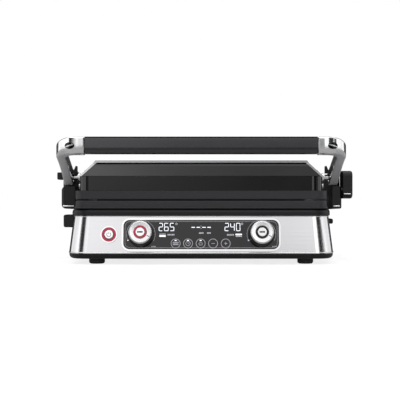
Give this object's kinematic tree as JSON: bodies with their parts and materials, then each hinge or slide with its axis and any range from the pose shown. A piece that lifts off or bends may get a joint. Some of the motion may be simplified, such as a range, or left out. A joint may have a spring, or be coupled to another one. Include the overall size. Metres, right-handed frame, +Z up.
{
  "type": "panini press",
  "caption": "Contact grill with ribbed non-stick plates, a floating lid on a U-shaped handle frame, rotary temperature knobs, a glass control panel and a pull-out drip tray.",
  "frame": {"origin": "centre of the underside of the object's box, on the surface it stands on", "axes": "+X to the right seen from the front, the handle and controls face -Y, +Z up"},
  "size_m": [0.419, 0.324, 0.1652],
  "materials": {
    "brushed_steel": "brushed",
    "black_glass": "gloss",
    "dark_plastic": "satin",
    "gloss_black": "gloss",
    "nonstick": "matte non-stick coating",
    "cast_metal": "satin polished",
    "chrome": "polished",
    "spun_metal": "spun",
    "light_red": "translucent",
    "rubber": "matte",
    "zinc_steel": "plated",
    "bronze": "sintered",
    "board_green": "satin",
    "spring_steel": "bright",
    "tray_metal": "satin"
  },
  "bodies": {
    "base": {"base_wrap": "brushed_steel", "rear_panel": "dark_plastic", "cord_inlet": "rubber", "top_frame": "dark_plastic", "bottom_pan": "dark_plastic", "pan_screws": "zinc_steel", "control_bezel": "chrome", "control_glass": "black_glass", "display_module": "gloss_black", "control_board": "board_green", "power_bezel": "chrome", "power_light_ring": "light_red", "power_switch": "gloss_black", "power_spring": "spring_steel", "power_board": "board_green", "release_bracket": "zinc_steel", "release_spring": "spring_steel", "tray_rails": "zinc_steel", "lower_plate": "nonstick", "feet": "rubber", "heater_lower": "spring_steel", "reflector_lower": "tray_metal", "encoder_left": "zinc_steel", "encoder_right": "zinc_steel", "hinge_tower_left": "dark_plastic", "hinge_tower_right": "dark_plastic", "hinge_pins": "zinc_steel"},
    "arms": {"arm_casting_left": "cast_metal", "arm_casting_right": "cast_metal", "handle_grip": "gloss_black", "handle_core": "zinc_steel", "arm_screws": "zinc_steel", "arm_cover_left": "dark_plastic", "arm_cover_right": "dark_plastic", "hinge_bushes": "bronze", "lid_pins": "chrome", "lever_pivot": "zinc_steel"},
    "lid": {"lid_cover": "brushed_steel", "lid_fascia": "gloss_black", "lid_housing": "gloss_black", "upper_plate": "nonstick", "heater_upper": "spring_steel", "reflector_upper": "tray_metal", "lid_bracket_left": "zinc_steel", "lid_bracket_right": "zinc_steel", "bracket_screws": "zinc_steel"},
    "knob_left": {"knob_skirt_left": "dark_plastic", "knob_face_left": "spun_metal", "knob_ring_left": "light_red"},
    "knob_right": {"knob_skirt_right": "dark_plastic", "knob_face_right": "spun_metal", "knob_ring_right": "gloss_black"},
    "knob_button_left": {"knob_button_left": "chrome"},
    "knob_button_right": {"knob_button_right": "chrome"},
    "power_button": {"power_button": "chrome"},
    "release_button": {"release_button": "dark_plastic"},
    "tray": {"drip_tray": "tray_metal", "tray_front": "dark_plastic"},
    "lever": {"release_lever": "dark_plastic"},
    "slider": {"height_slider": "dark_plastic"}
  },
  "joints": [
    {"name": "arm_hinge", "type": "hinge", "parent": "base", "child": "arms", "pos_m": [0, 0.146, 0.084], "axis": [-1, 0, 0], "range_deg": [0, 180]},
    {"name": "lid_lift", "type": "slide", "parent": "arms", "child": "lid", "axis": [0, 0, 1], "range_m": [0, 0.013]},
    {"name": "knob_left_turn", "type": "hinge", "parent": "base", "child": "knob_left", "pos_m": [-0.0786, -0.13518, 0.03929], "axis": [0, -0.9818, 0.19], "range_deg": [-18, 235]},
    {"name": "knob_right_turn", "type": "hinge", "parent": "base", "child": "knob_right", "pos_m": [0.0786, -0.13518, 0.03929], "axis": [0, -0.9818, 0.19], "range_deg": [-18, 235]},
    {"name": "knob_left_press", "type": "slide", "parent": "base", "child": "knob_button_left", "axis": [0, 0.9818, -0.19], "range_m": [0, 0.0015], "stiffness_N_per_m": 600, "springref_m": -0.002},
    {"name": "knob_right_press", "type": "slide", "parent": "base", "child": "knob_button_right", "axis": [0, 0.9818, -0.19], "range_m": [0, 0.0015], "stiffness_N_per_m": 600, "springref_m": -0.002},
    {"name": "power_press", "type": "slide", "parent": "base", "child": "power_button", "axis": [0, 0.9818, -0.19], "range_m": [0, 0.0015], "stiffness_N_per_m": 600, "springref_m": -0.002, "deforming": ["power_spring"]},
    {"name": "plate_release_press", "type": "slide", "parent": "base", "child": "release_button", "axis": [1, 0, 0], "range_m": [0, 0.004], "stiffness_N_per_m": 800, "springref_m": -0.002, "deforming": ["release_spring"]},
    {"name": "tray_slide", "type": "slide", "parent": "base", "child": "tray", "axis": [1, 0, 0], "range_m": [0, 0.24]},
    {"name": "lever_turn", "type": "hinge", "parent": "arms", "child": "lever", "pos_m": [0.2, -0.046, 0.098], "axis": [-1, 0, 0], "range_deg": [0, 25], "stiffness_Nm_per_rad": 0.12, "springref_deg": -11.46},
    {"name": "height_slide", "type": "slide", "parent": "arms", "child": "slider", "axis": [0, 1, 0], "range_m": [0, 0.012]}
  ]
}
